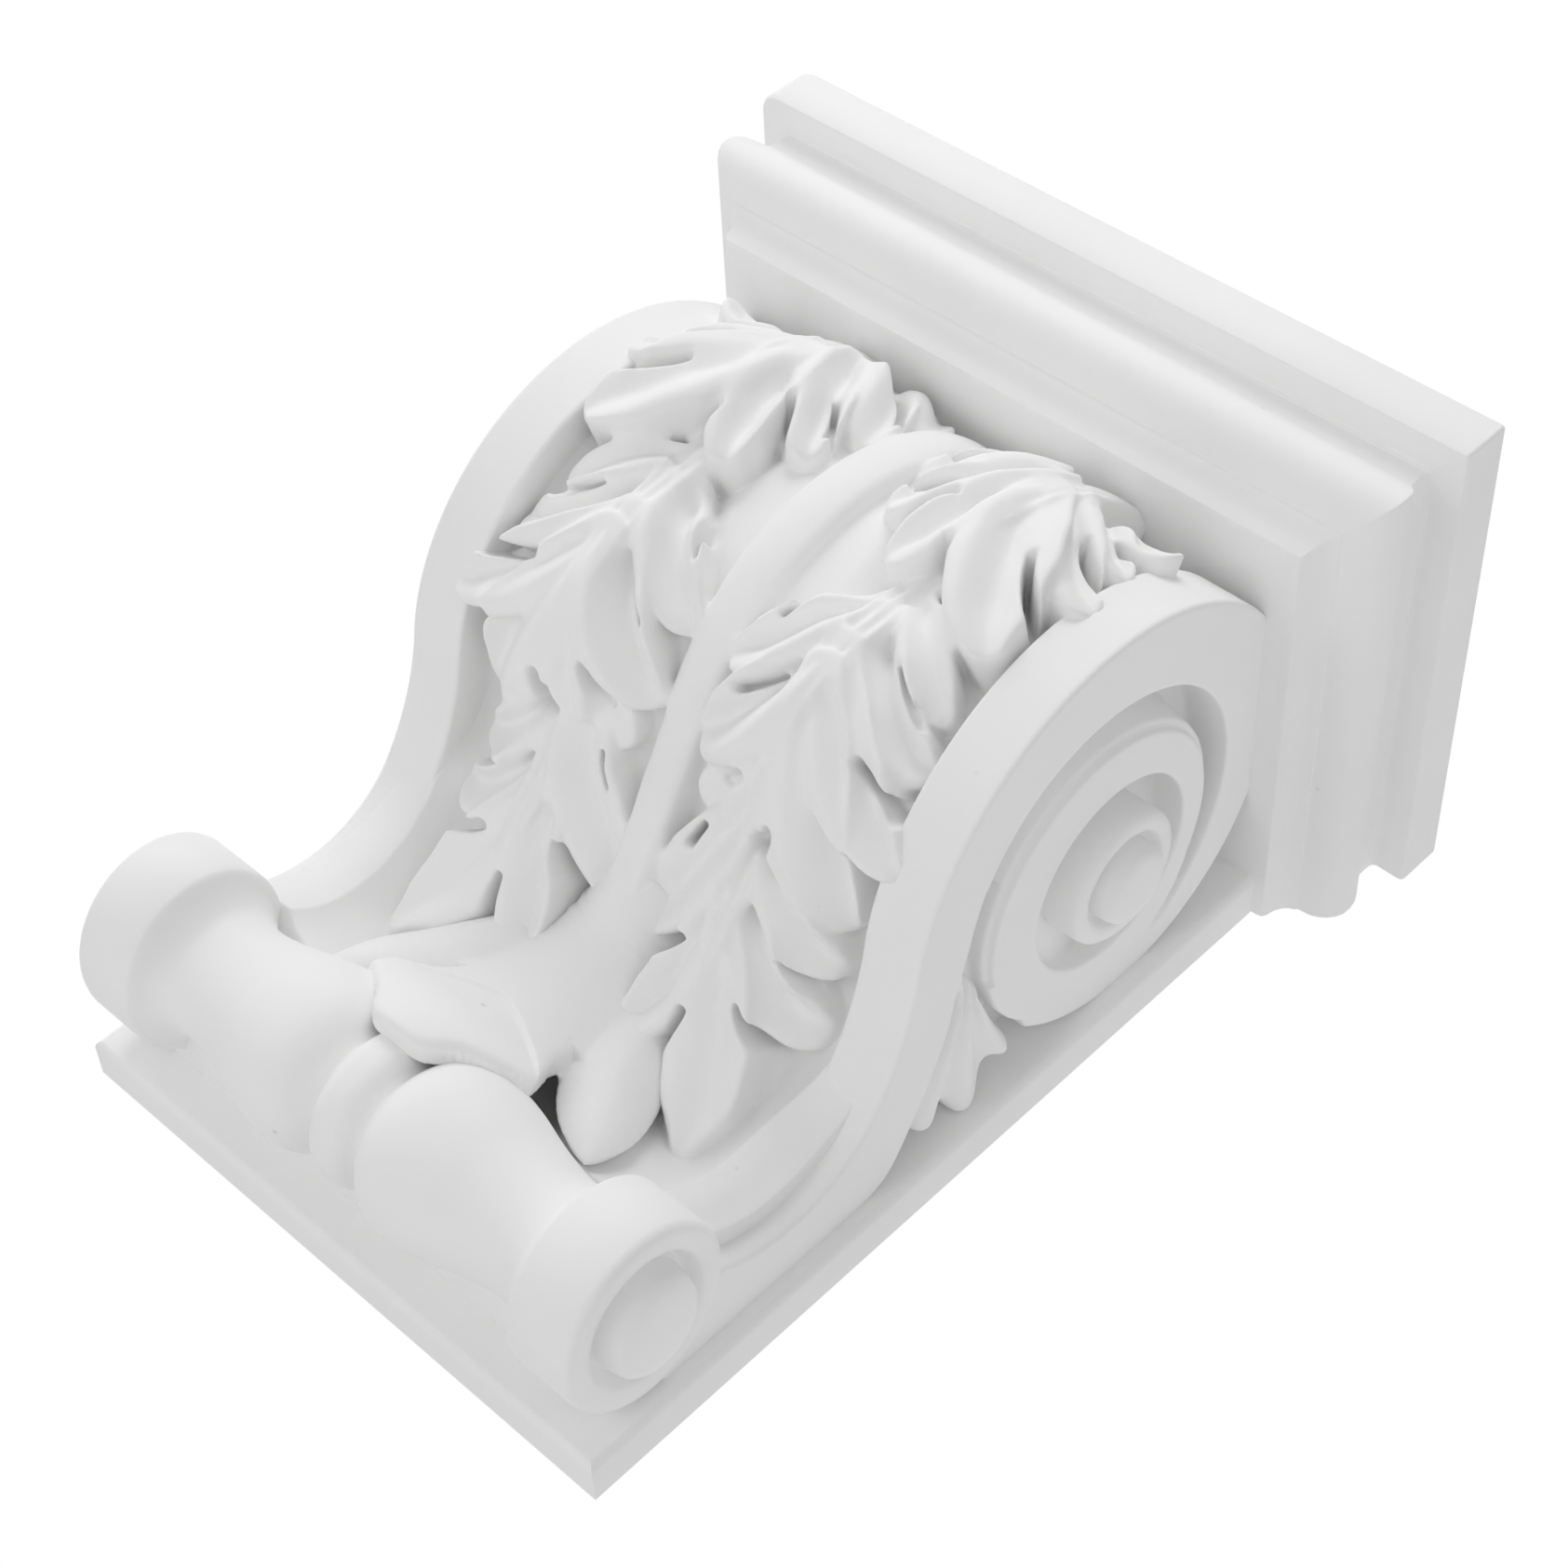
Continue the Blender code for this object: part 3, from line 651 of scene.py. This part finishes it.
def channel(x, d, z):
    """What is cut away between the volute's first and second turn; it runs out round the back."""
    outer, inner = distance_to_circle(d, z, CHANNEL_OUTER), distance_to_circle(d, z, CHANNEL_INNER)
    across = np.clip(-outer / np.maximum(inner - outer, 0.5), 0, 1)
    angle = np.degrees(np.arctan2(z - CHANNEL_INNER[1], d - CHANNEL_INNER[0]))
    angle = np.where(angle < -100, angle + 360, angle)
    fade = 1 - step_between(95, 165, angle)
    depth = CHANNEL_DEPTH * fade * (1 - 0.85 * step_between(0.65, 1.0, across))
    region = smax(outer, -inner - 1.5, 1.0)
    region = smax(region, angle * 0.3 - 50, 1.0)
    region, floor = lifted(region, BAND_FACE + 1.2 * (1 - fade) - depth)
    return smax(region, floor - x, 1.5)


def recess(x, d, z):
    """What is cut away round the eye; its floor rises towards the back and the foot."""
    tilt = (0.45 * (EYE_RECESS[0] - d) + 0.9 * (EYE_RECESS[1] - z)) / EYE_RECESS[2]
    floor = RECESS_FLOOR + RECESS_RISE * step_between(0.1, 1.1, tilt)
    ring, floor = lifted(distance_to_circle(d, z, EYE_RECESS), floor)
    return smax(ring, floor - x, 2.0)


def slot_web(x, d, z):
    web, level = lifted(distance_to_outline(d, z, SLOT_WEB), WEB_FACE - WEB_FALL * step_between(44, 68, d))
    return smax(smax(web, x - level, 1.0), BAND_INNER - x + 0 * web, 1.0)


def side_leaf(x, d, z):
    leaf = distance_to_outline(d, z, spline(SIDE_LEAF + SIDE_LEAF[:1], 3))
    spread = (z - SIDE_LEAF_ROOT[1]) / np.maximum(SIDE_LEAF_ROOT[0] - d, 6.0)
    flutes = SIDE_LEAF_FLUTE * np.cos(spread * 2 * math.pi / SIDE_LEAF_PITCH)
    face = SIDE_LEAF_FACE + flutes - 0.02 * (40 - d) - 3.0 * spread**2
    leaf, face = lifted(leaf, face)
    return smax(smax(leaf, x - face, 2.4), SIDE_LEAF_BACK - x + 0 * leaf, 1.0)


def scroll():
    """One side of the console: the band down to the foot and the volute it coils into, at +x."""
    grid = Grid((56.4, 6.0, 18.0), (74.0, 111.0, 199.0), VOXEL)
    x, d, z = grid.coordinates(EVERYWHERE)
    flat_d, flat_z = (d + 0 * z)[0], (z + 0 * d)[0]
    outline = lifted(distance_to_outline(flat_d, flat_z, scroll_outline()))[0]
    solid = smax(outline, x - BAND_FACE + 0 * outline, 1.2)
    grid.field[EVERYWHERE] = smax(solid, BAND_INNER - x + 0 * outline, 1.0)
    grid.cut(EVERYWHERE, channel(x, flat_d, flat_z), 0.7)
    grid.cut(EVERYWHERE, recess(x, flat_d, flat_z), 0.8)
    grid.add(EVERYWHERE, slot_web(x, flat_d, flat_z), 1.0)
    grid.add(EVERYWHERE, side_leaf(x, flat_d, flat_z), 1.0)
    return grid.surface()


# ---------------------------------------------------------------- flat and turned members

def ring_loft(name, rings):
    """A closed surface through rings of (x, d, z), capped at both ends."""
    rings = np.asarray(rings, float)
    rows, count = rings.shape[:2]
    index = np.arange(rows * count).reshape(rows, count)
    after = np.roll(index, -1, axis=1)
    quads = np.stack([index[:-1], after[:-1], after[1:], index[1:]], axis=-1).reshape(-1, 4)
    mesh = mesh_of(name, rings.reshape(-1, 3), quads)
    bm = bmesh.new()
    bm.from_mesh(mesh)
    bm.verts.ensure_lookup_table()
    bm.faces.new([bm.verts[i] for i in index[0]])
    bm.faces.new([bm.verts[i] for i in index[-1][::-1]])
    bmesh.ops.recalc_face_normals(bm, faces=bm.faces)
    bm.to_mesh(mesh)
    bm.free()
    return mesh


# The crown's moulding from the top down, as (how far it lies inside the crown's largest outline, z)
CROWN_PROFILE = [
    (1.0, 237.1), (0.3, 236.8), (0.0, 236.1), (0.0, 225.4), (0.3, 224.7), (1.0, 224.4),
    (6.8, 224.4), (7.4, 224.1), (7.8, 223.4), (7.9, 221.0), (7.8, 218.7), (7.0, 217.4), (5.9, 216.1),
    (4.8, 214.6), (3.9, 212.8), (3.5, 210.5), (3.6, 208.4), (4.3, 206.6), (5.4, 205.2), (6.9, 204.0),
    (8.5, 203.3), (10.4, 203.0), (11.3, 202.95), (11.8, 202.8), (12.1, 202.3), (13.2, 201.8), (14.2, 200.9),
    (15.0, 199.5), (15.4, 198.2), (15.6, 197.0), (16.2, 196.0), (17.4, 195.7),
]
# The corners' radii; the left end of the fascia, above its foot, is the one that is worn round
FASCIA_FOOT = 224
WORN_CORNER = 4.6
LEFT_CORNER = 1.2
RIGHT_CORNER = 0.8
SHARPEST_CORNER = 0.4


def crown():
    rings = []
    for inset, z in CROWN_PROFILE:
        half, depth = CROWN_HALF - inset, CROWN_DEPTH - inset
        ring = [(-half, 0)]
        left = WORN_CORNER if z > FASCIA_FOOT else LEFT_CORNER
        for sign, radius in ((-1, left), (1, RIGHT_CORNER)):
            radius = max(radius - 0.3 * inset, SHARPEST_CORNER)
            turn = np.radians(np.linspace(0, 90, 7))
            corner = [(sign * (half - radius + radius * math.cos(a)), depth - radius + radius * math.sin(a))
                      for a in turn]
            ring += corner if sign < 0 else corner[::-1]
        ring.append((half, 0))
        rings.append([(x, d, z) for x, d in ring])
    return ring_loft("crown", rings)


PLATE_ROUND = 2.2
PLATE_STEPS = 6


def back_plate():
    """The plate on the wall, with its front edges rounded."""
    profile = [(0, 0)]
    for step in range(PLATE_STEPS + 1):
        turn = math.radians(90 * step / PLATE_STEPS)
        inset = PLATE_ROUND * (1 - math.cos(turn))
        profile.append((inset, PLATE_DEPTH - PLATE_ROUND + PLATE_ROUND * math.sin(turn)))
    rings = []
    for inset, depth in profile:
        half, top = PLATE_HALF - inset, SOFFIT
        rings.append([(-half, depth, inset), (half, depth, inset), (half, depth, top), (-half, depth, top)])
    return ring_loft("back_plate", rings)


# The core's back, inside the plate, and its foot, inside the roll
CORE_BACK = 9.0
CORE_FOOT = 10.0


def core():
    """The body behind the panel, between the scrolls."""
    s = np.linspace(FRONT_LEAD, front.length - 6, 100)
    d, z = front.at(s, -sink(s) - 1.0)
    inside = [(a, b) for a, b in zip(d, z) if a > CORE_BACK + 0.5]
    outline = [(CORE_BACK, SOFFIT + 2), (inside[0][0], SOFFIT + 2)] + inside
    outline += [(ROLL_AXIS[0], 30.0), (ROLL_AXIS[0], CORE_FOOT), (CORE_BACK, CORE_FOOT)]
    rings = [[(x, a, b) for a, b in outline] for x in (-CORE_HALF, CORE_HALF)]
    return ring_loft("core", rings)


# Turned members as (x, radius) from the middle outwards. The drums are a little deeper than they are high.
DRUM_STRETCH = 22.4 / 19.8
ROLL_AXIS = (33.9, 19.8)
ROLL_PROFILE = [(0.0, 17.2), (2.0, 17.1), (3.6, 16.4), (4.7, 15.2), (5.4, 13.9), (6.4, 13.2), (7.4, 14.0),
                (9.0, 15.9), (11.4, 17.7), (15.0, 18.9), (20.0, 19.0), (27.0, 17.8), (35.0, 15.5),
                (44.0, 13.8), (49.5, 14.2), (53.0, 16.2), (55.2, 19.0)]
DRUM_PROFILE = [(55.6, 19.5), (56.4, 19.8), (70.2, 19.8), (71.2, 19.5), (71.9, 18.8), (72.1, 17.8),
                (72.1, 15.0), (71.6, 14.2), (70.2, 13.5), (68.9, 12.8), (68.5, 12.0), (69.1, 11.2),
                (72.2, 10.9), (74.2, 10.4), (75.3, 9.4), (75.8, 8.0), (75.9, 4.0), (75.9, 0.4)]


def turned(name, sections, axis, count):
    """A member turned about an axis along x, through sections of (x, radius in d, radius in z)."""
    angles = np.linspace(0, 2 * math.pi, count, endpoint=False)
    rings = []
    for x, in_d, in_z in sections:
        d, z = axis[0] + in_d * np.cos(angles), axis[1] + in_z * np.sin(angles)
        rings.append(np.stack([np.full(count, x), d, z], axis=1))
    return ring_loft(name, rings)


def roll():
    """The baluster roll with its drums."""
    half = np.concatenate([spline(ROLL_PROFILE, 4), DRUM_PROFILE])
    profile = np.concatenate([half[:0:-1] * [-1, 1], half])
    sections = [(x, radius * (1 + (DRUM_STRETCH - 1) * step_between(50.0, 56.5, abs(x))), radius)
                for x, radius in profile]
    return turned("roll", sections, ROLL_AXIS, 128)


EYE_PROFILE = [(60.0, 15.4), (73.0, 15.4), (74.2, 15.1), (74.9, 14.3), (75.1, 13.2), (75.1, 11.9),
               (74.6, 11.1), (73.2, 10.6), (72.4, 9.9), (73.0, 9.2), (75.8, 9.0), (77.4, 8.6),
               (78.2, 7.7), (78.5, 6.0), (78.6, 3.0), (78.6, 0.3)]


def eye():
    return turned("eye", [(x, radius, radius) for x, radius in EYE_PROFILE], EYE, 96)


# ---------------------------------------------------------------- finish

def set_inputs(node, values):
    for socket, value in values.items():
        node.inputs[socket].default_value = value


def add_node(tree, kind, values, **links):
    """A new node with its inputs set; a link is named for its input and gives the output it comes from."""
    node = tree.nodes.new(kind)
    set_inputs(node, values)
    for socket, output in links.items():
        tree.links.new(output, node.inputs[socket])
    return node


MOTTLE_DARK = (0.925, 0.925, 0.922, 1)
MOTTLE_LIGHT = (0.950, 0.950, 0.948, 1)


def moulding_material():
    """White cast moulding: matt, a little uneven, with painted shade for a few pinholes."""
    material = bpy.data.materials.new("white_moulding")
    material.use_nodes = True
    tree = material.node_tree
    shader = tree.nodes["Principled BSDF"]
    set_inputs(shader, {"Roughness": 0.6, "Specular IOR Level": 0.3})
    place = tree.nodes.new("ShaderNodeTexCoord").outputs["Object"]
    mottle = add_node(tree, "ShaderNodeTexNoise", {"Scale": 28, "Detail": 4}, Vector=place)
    ramp = add_node(tree, "ShaderNodeValToRGB", {}, Fac=mottle.outputs["Fac"])
    dark, light = ramp.color_ramp.elements
    dark.position, dark.color = 0.3, MOTTLE_DARK
    light.position, light.color = 0.7, MOTTLE_LIGHT
    # painted shade for a few pinholes where the cast caught air: tiny spots darkened to 0.8, with no pits
    # modelled under them
    holes = add_node(tree, "ShaderNodeTexVoronoi", {"Scale": 45}, Vector=place)
    edge = {"From Min": 0.012, "From Max": 0.035, "To Min": 0.80, "To Max": 1.0}
    pit_shade = add_node(tree, "ShaderNodeMapRange", edge, Value=holes.outputs["Distance"])
    # the base colour is the random mottle times the painted pinhole shade
    shade = tree.nodes.new("ShaderNodeMix")
    shade.data_type = "RGBA"
    shade.blend_type = "MULTIPLY"
    set_inputs(shade, {"Factor": 1.0})
    tree.links.new(ramp.outputs["Color"], shade.inputs["A"])
    tree.links.new(pit_shade.outputs["Result"], shade.inputs["B"])
    tree.links.new(shade.outputs["Result"], shader.inputs["Base Color"])
    grain = add_node(tree, "ShaderNodeTexNoise", {"Scale": 900, "Detail": 3}, Vector=place)
    relief = {"Strength": 0.06, "Distance": 0.0004}
    bump = add_node(tree, "ShaderNodeBump", relief, Height=grain.outputs["Fac"])
    tree.links.new(bump.outputs["Normal"], shader.inputs["Normal"])
    return material


def joined(name, meshes):
    """One mesh from several closed ones."""
    bm = bmesh.new()
    for mesh in meshes:
        bm.from_mesh(mesh)
    out = bpy.data.meshes.new(name)
    bm.to_mesh(out)
    bm.free()
    return out


def mirrored(mesh):
    """A copy turned over in x."""
    copy = mesh.copy()
    copy.transform(Matrix.Diagonal((-1, 1, 1, 1)))
    copy.flip_normals()
    return copy


# The angle in degrees over which an edge stays sharp, on the flat members and on the turned ones
FLAT_EDGE = 24
TURNED_EDGE = 40
# Most triangles of each carved piece
SCROLL_TRIANGLES = 90000
LEAF_TRIANGLES = 195000
PALMETTE_TRIANGLES = 90000


def carved(name, field, triangles):
    """A piece from the surface of a field."""
    mesh = mesh_of(name, *field)
    outward(mesh)
    piece = add_object(name, mesh)
    decimated(piece, triangles)
    return piece


def build_object():
    plate = joined("plate", [back_plate(), core()])
    pieces = [add_object("corbel_crown", crown(), FLAT_EDGE), add_object("corbel_plate", plate, FLAT_EDGE)]
    right = carved("corbel_scroll_right", scroll(), SCROLL_TRIANGLES)
    pieces += [right, add_object("corbel_scroll_left", mirrored(right.data))]
    boss = eye()
    pieces.append(add_object("corbel_eye_right", boss, TURNED_EDGE))
    pieces.append(add_object("corbel_eye_left", mirrored(boss), TURNED_EDGE))
    pieces.append(add_object("corbel_roll", roll(), TURNED_EDGE))
    pieces.append(carved("corbel_leaves", leaf_panel(), LEAF_TRIANGLES))
    pieces.append(carved("corbel_palmette", palmette(), PALMETTE_TRIANGLES))
    return pieces


# The camera's place in metres, and the directions in which the picture goes right and down and it looks
CAMERA_PLACE = (0.32208, -0.50334, -0.29646)
CAMERA_RIGHT = (0.719179, 0.038352, 0.693766)
CAMERA_DOWN = (0.482459, 0.690968, -0.538328)
CAMERA_VIEW = (-0.500016, 0.721868, 0.478426)
CAMERA_SENSOR = 36
CAMERA_LENS = 70.81


def place_camera():
    data = bpy.data.cameras.new("camera")
    data.sensor_width = CAMERA_SENSOR
    data.lens = CAMERA_LENS
    right, down, view = Vector(CAMERA_RIGHT), Vector(CAMERA_DOWN), Vector(CAMERA_VIEW)
    matrix = Matrix((right, -down, -view)).transposed().to_4x4()
    matrix.translation = CAMERA_PLACE
    camera = bpy.data.objects.new("camera", data)
    camera.matrix_world = matrix
    bpy.context.scene.collection.objects.link(camera)
    bpy.context.scene.camera = camera


# Disk lights as (name, place, diameter in metres, power in watts); each points at LIGHT_TARGET
LIGHTS = [
    ("key", (-0.57, -1.11, 0.84), 0.9, 7.8),
    ("top", (-0.35, -0.50, 1.25), 0.9, 1.6),
    ("left", (-1.25, -0.50, 0.30), 0.9, 2.0),
    ("fill", (1.06, -1.05, -0.13), 0.9, 1.5),
    ("bounce", (-0.30, -0.83, -0.80), 0.6, 1.2),
]
LIGHT_TARGET = (0, -0.05, 0)
FLOOR_HALF = 6
FLOOR_LEVEL = -1.2


def add_light(name, place, size, power):
    data = bpy.data.lights.new(name, "AREA")
    data.shape, data.size, data.energy = "DISK", size, power
    light = bpy.data.objects.new(name, data)
    light.location = place
    light.rotation_euler = (Vector(LIGHT_TARGET) - Vector(place)).to_track_quat("-Z", "Y").to_euler()
    light.visible_camera = False
    bpy.context.scene.collection.objects.link(light)


def surround():
    """A white backdrop behind the wall's plane, and dimmer surroundings in front of it."""
    world = bpy.data.worlds.new("studio")
    bpy.context.scene.world = world
    world.use_nodes = True
    tree = world.node_tree
    backdrop = tree.nodes["Background"]
    set_inputs(backdrop, {"Color": (1, 1, 1, 1)})
    direction = tree.nodes.new("ShaderNodeTexCoord").outputs["Generated"]
    parts = add_node(tree, "ShaderNodeSeparateXYZ", {}, Vector=direction)
    steps = {"From Min": 0.10, "From Max": 0.35, "To Min": 0.37, "To Max": 1.0}
    dimming = add_node(tree, "ShaderNodeMapRange", steps, Value=parts.outputs["Y"])
    tree.links.new(dimming.outputs["Result"], backdrop.inputs["Strength"])


def lay_floor():
    mesh = bpy.data.meshes.new("floor")
    corners = [(FLOOR_HALF * a, FLOOR_HALF * b, 0) for a, b in ((-1, -1), (1, -1), (1, 1), (-1, 1))]
    mesh.from_pydata(corners, [], [(0, 1, 2, 3)])
    floor = bpy.data.objects.new("floor", mesh)
    floor.location.z = FLOOR_LEVEL
    bpy.context.scene.collection.objects.link(floor)
    material = bpy.data.materials.new("floor_white")
    material.use_nodes = True
    shader = material.node_tree.nodes["Principled BSDF"]
    set_inputs(shader, {"Base Color": (0.9, 0.9, 0.9, 1), "Roughness": 0.8})
    mesh.materials.append(material)


def studio():
    surround()
    for light in LIGHTS:
        add_light(*light)
    bpy.context.scene.view_settings.view_transform = "Standard"
    lay_floor()


pieces = build_object()
material = moulding_material()
for piece in pieces:
    piece.data.materials.clear()
    piece.data.materials.append(material)
    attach(piece, "root")
    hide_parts("corbel")
place_camera()
studio()
